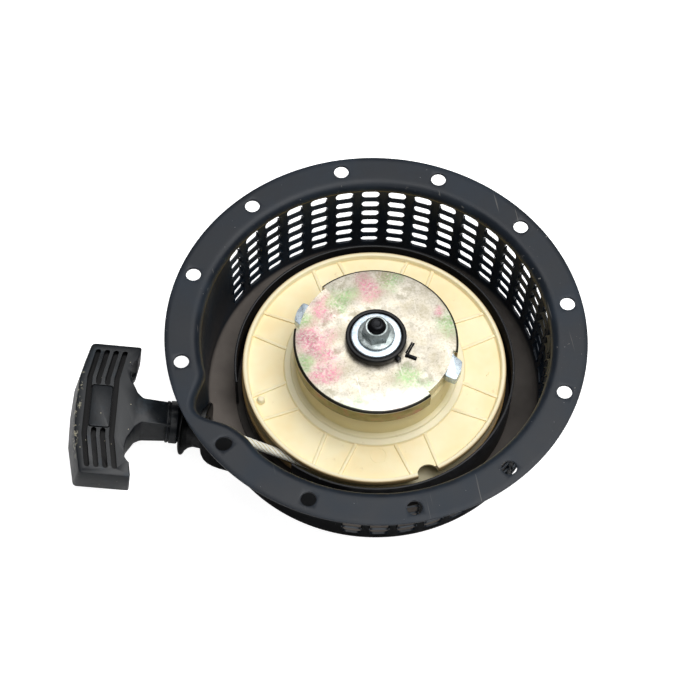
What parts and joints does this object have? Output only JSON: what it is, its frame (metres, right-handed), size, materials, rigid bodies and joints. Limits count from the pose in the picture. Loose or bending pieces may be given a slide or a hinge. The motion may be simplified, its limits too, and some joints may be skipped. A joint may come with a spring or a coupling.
{
  "type": "recoil starter",
  "caption": "Round pull-cord recoil starter: vented black steel bowl with bolting flange, ivory reel, zinc ratchet plate with pawls, and a T-handle on a cord.",
  "frame": {"origin": "centre of the closed back's outer face, on the shaft axis", "axes": "+Z along the shaft towards the engine; a flange bolt hole lies on +X and one on +Y; the cord leaves towards -X"},
  "size_m": [0.3088, 0.2472, 0.078],
  "materials": {
    "black_enamel": "semi-gloss",
    "ivory_nylon": "satin",
    "yellow_zinc": "yellow-passivated zinc plate",
    "bright_zinc": "blue-passivated zinc plate",
    "oiled_steel": "oiled",
    "bronze": "sintered",
    "black_plastic": "satin",
    "rope": "braided"
  },
  "bodies": {
    "housing": {"housing_shell": "black_enamel", "reel_guard_ring": "black_enamel", "rope_guide": "black_plastic", "center_shaft": "oiled_steel", "spring_case": "bright_zinc", "spring_anchor": "oiled_steel", "recoil_spring": "oiled_steel", "rope_run": "rope", "large_washer": "bright_zinc", "flange_nut": "bright_zinc"},
    "reel": {"reel": "ivory_nylon", "reel_bush": "bronze", "rope_coil": "rope", "reel_knot": "rope", "thrust_washer": "bright_zinc", "pawl_pin_a": "oiled_steel", "pawl_pin_b": "oiled_steel"},
    "guide": {"ratchet_guide_plate": "yellow_zinc", "friction_spring": "oiled_steel", "retainer_cup": "black_plastic"},
    "pawl_a": {"pawl_a": "bright_zinc"},
    "pawl_b": {"pawl_b": "bright_zinc"},
    "handle": {"handle_grip": "black_plastic", "handle_cap": "black_plastic", "knot_washer": "bright_zinc", "handle_knot": "rope", "rope_tail": "rope"}
  },
  "joints": [
    {"name": "handle_pull", "type": "slide", "parent": "housing", "child": "handle", "axis": [-0.9711, 0.21, 0.1132], "range_m": [0, 0.9], "stiffness_N_per_m": 20, "springref_m": -0.5},
    {"name": "reel_spin", "type": "hinge", "parent": "housing", "child": "reel", "pos_m": [0, 0, 0.03], "axis": [0, 0, 1], "range_deg": [-765, 0]},
    {"name": "guide_turn", "type": "hinge", "parent": "reel", "child": "guide", "pos_m": [0, 0, 0.058], "axis": [0, 0, 1], "range_deg": [0, 18]},
    {"name": "pawl_a_swing", "type": "hinge", "parent": "reel", "child": "pawl_a", "pos_m": [0.039, 0.006, 0.0535], "axis": [0, 0, 1], "range_deg": [0, 12]},
    {"name": "pawl_b_swing", "type": "hinge", "parent": "reel", "child": "pawl_b", "pos_m": [-0.039, -0.006, 0.0535], "axis": [0, 0, 1], "range_deg": [0, 17.4]}
  ],
  "couplings": [
    {"joint": "reel_spin", "follows": "handle_pull", "rad_per_m": -14.8},
    {"joint": "pawl_a_swing", "follows": "guide_turn", "ratio": 0.6666},
    {"joint": "pawl_b_swing", "follows": "guide_turn", "ratio": 0.9666}
  ]
}
